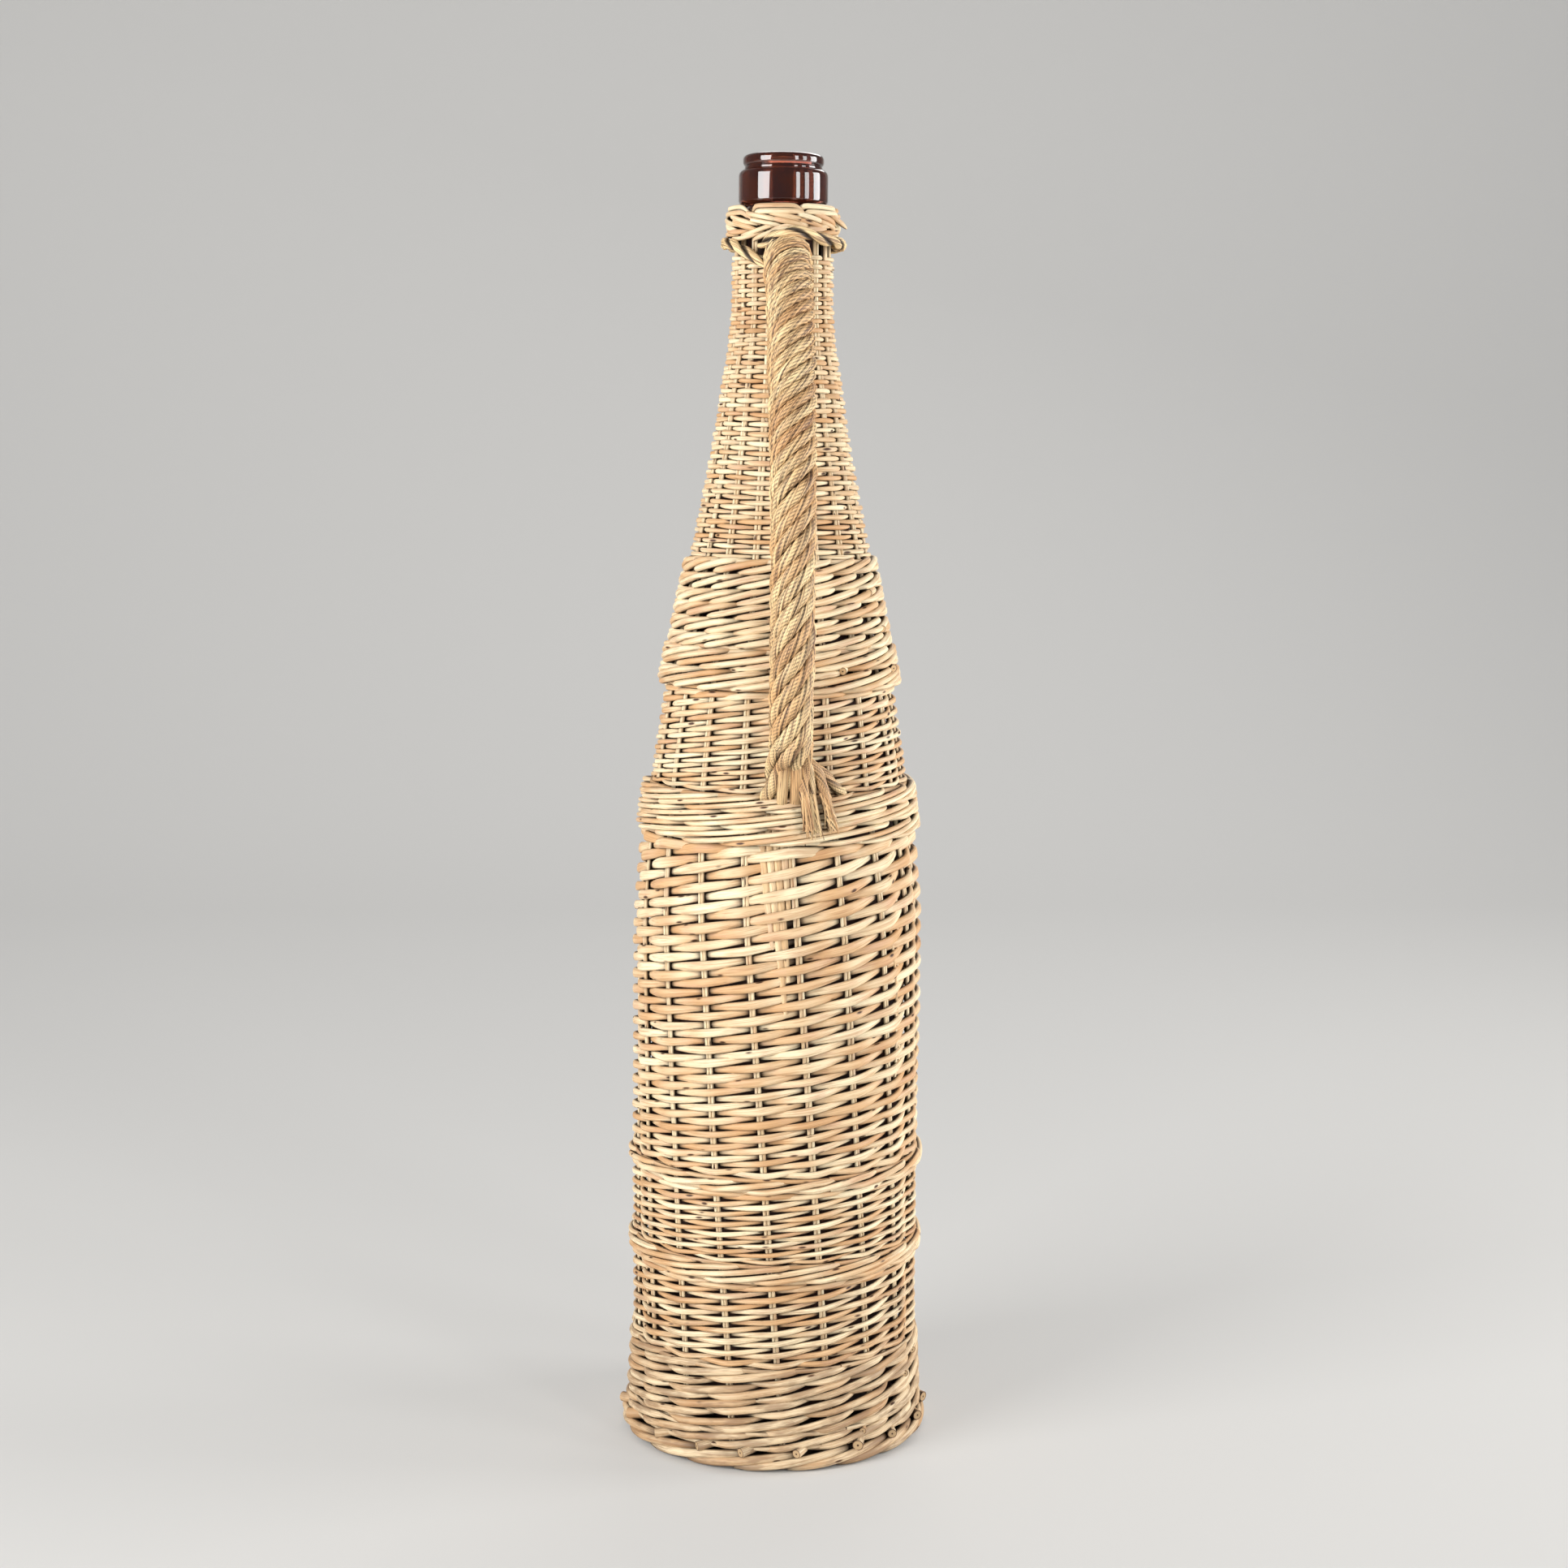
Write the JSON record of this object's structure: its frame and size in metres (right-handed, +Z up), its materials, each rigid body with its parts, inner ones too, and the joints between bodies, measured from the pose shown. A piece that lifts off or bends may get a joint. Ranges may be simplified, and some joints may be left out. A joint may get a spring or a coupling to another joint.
{
  "type": "wicker-covered wine bottle",
  "caption": "Tall slim wine bottle of dark amber glass in a close-fitting woven willow basket from foot to collar, with a roped willow handle from neck to shoulder band.",
  "frame": {"origin": "on the floor, in the middle of the part's box, 12 mm towards the handle from the bottle's axis", "axes": "+Z up along the bottle, -Y towards the handle, +X to the right as seen from the handle's side"},
  "size_m": [0.224, 0.248, 0.908],
  "materials": {
    "amber_glass": "clear dark amber to brown glass, polished by the mould, with red light at its thin edges",
    "willow": "peeled willow rods, cream to honey, satin, with small knots and darker gaps",
    "upright_willow": "peeled willow rods, a little greyer and darker than the weavers",
    "handle_willow": "roped split willow, honey brown, fine grain along the strands",
    "foot_willow": "heavy willow rods, weathered grey-beige, scuffed on the underside",
    "base_willow": "dull willow sticks and weave, rubbed underneath"
  },
  "bodies": {
    "root": {"glass_bottle": "amber_glass", "upright_1": "upright_willow", "upright_2": "upright_willow", "upright_3": "upright_willow", "upright_4": "upright_willow", "upright_5": "upright_willow", "upright_6": "upright_willow", "upright_7": "upright_willow", "upright_8": "upright_willow", "upright_9": "upright_willow", "upright_10": "upright_willow", "upright_11": "upright_willow", "upright_12": "upright_willow", "upright_13": "upright_willow", "upright_14": "upright_willow", "upright_15": "upright_willow", "upright_16": "upright_willow", "upright_17": "upright_willow", "upright_18": "upright_willow", "base_stick_lower_1": "base_willow", "base_stick_lower_2": "base_willow", "base_stick_lower_3": "base_willow", "base_stick_lower_4": "base_willow", "base_stick_upper_1": "base_willow", "base_stick_upper_2": "base_willow", "base_stick_upper_3": "base_willow", "base_stick_upper_4": "base_willow", "base_weave": "base_willow", "foot_border": "foot_willow", "foot_wale": "foot_willow", "low_rand": "willow", "low_band": "willow", "mid_rand": "willow", "mid_band": "willow", "body_rand": "willow", "shoulder_band": "willow", "waist_rand": "willow", "waist_band": "willow", "shoulder_wale": "willow", "upper_rand": "willow", "neck_rand": "willow", "neck_border": "willow", "neck_loop": "handle_willow", "handle_bow": "handle_willow", "handle_strand_1": "handle_willow", "handle_strand_2": "handle_willow", "handle_strand_3": "handle_willow", "handle_strand_4": "handle_willow", "handle_strand_5": "handle_willow", "handle_strand_6": "handle_willow", "handle_strand_7": "handle_willow", "handle_liner_1": "upright_willow", "handle_liner_2": "upright_willow", "handle_liner_3": "upright_willow", "handle_liner_4": "upright_willow"}
  },
  "joints": []
}
